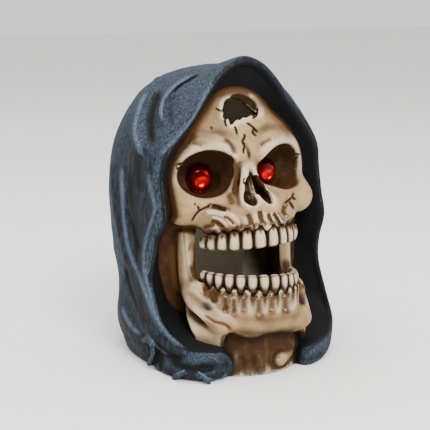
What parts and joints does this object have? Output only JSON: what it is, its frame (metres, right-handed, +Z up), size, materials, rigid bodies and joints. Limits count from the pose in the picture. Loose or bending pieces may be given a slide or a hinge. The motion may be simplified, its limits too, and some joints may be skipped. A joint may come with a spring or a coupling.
{
  "type": "hooded skull ornament",
  "caption": "Standing resin ornament: a skull with open jaw, broken forehead and red gem eyes inside a draped hood, hollow and open underneath.",
  "frame": {"origin": "middle of the outline's plan, on the plane of the underside", "axes": "+Z up, the face looks to -Y, +X towards the skull's own left"},
  "size_m": [0.13, 0.1352, 0.1808],
  "materials": {
    "painted_resin": "hand-painted cast resin: ivory bone with brown wash, matt charcoal hood with blue-grey dry-brushed folds",
    "red_acrylic": "clear red faceted acrylic, polished"
  },
  "bodies": {
    "root": {"hooded_skull": "painted_resin", "right_eye_gem": "red_acrylic", "left_eye_gem": "red_acrylic"}
  },
  "joints": []
}
